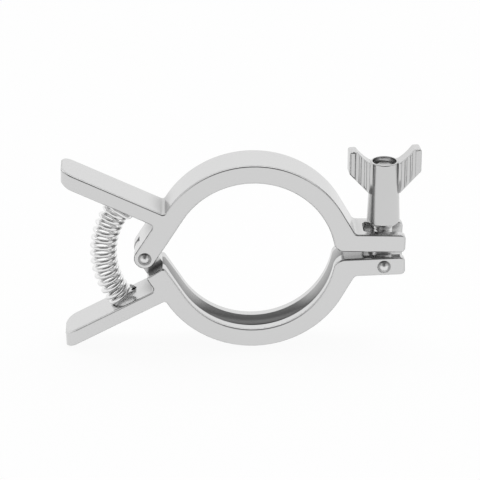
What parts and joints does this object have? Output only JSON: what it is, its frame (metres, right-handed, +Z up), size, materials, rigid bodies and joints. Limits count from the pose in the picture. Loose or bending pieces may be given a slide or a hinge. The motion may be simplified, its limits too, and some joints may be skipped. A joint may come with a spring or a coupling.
{
  "type": "sanitary hinged clamp",
  "caption": "Hinged sanitary clamp in stainless steel with V-grooved half rings, squeeze levers with a bent closing spring, and a swing bolt with a wing nut",
  "frame": {"origin": "centre of the lower jaw's ring, at mid width, where the axis of the clamped ferrules lies", "axes": "+X from the hinge to the bolt, +Y along the pipe, +Z up from the lower jaw to the upper jaw"},
  "size_m": [0.1528, 0.021, 0.088],
  "materials": {
    "casting": "satin polished casting",
    "pin": "turned and riveted",
    "bolt": "turned, rolled thread",
    "nut": "satin casting, turned rim",
    "spring": "bright drawn wire"
  },
  "bodies": {
    "lower_jaw": {"lower_jaw": "casting", "bolt_pin": "pin", "lever_spring": "spring"},
    "upper_jaw": {"upper_jaw": "casting", "hinge_pin": "pin"},
    "eye_bolt": {"eye_bolt": "bolt"},
    "wing_nut": {"wing_nut": "nut"}
  },
  "joints": [
    {"name": "jaw_hinge", "type": "hinge", "parent": "lower_jaw", "child": "upper_jaw", "pos_m": [-0.04628, 0, -0.00145], "axis": [0, -1, 0], "range_deg": [0, 12.5], "stiffness_Nm_per_rad": 1.4, "springref_deg": -8.02, "deforming": ["lever_spring"]},
    {"name": "bolt_swing", "type": "hinge", "parent": "lower_jaw", "child": "eye_bolt", "pos_m": [0.05603, 0, -0.00644], "axis": [0, 1, 0], "range_deg": [0, 200]},
    {"name": "nut_travel", "type": "slide", "parent": "eye_bolt", "child": "wing_nut", "axis": [0, 0, 1], "range_m": [0, 0.0228]}
  ],
  "couplings": [
    {"joint": "nut_travel", "follows": "jaw_hinge", "m_per_rad": 0.103}
  ]
}
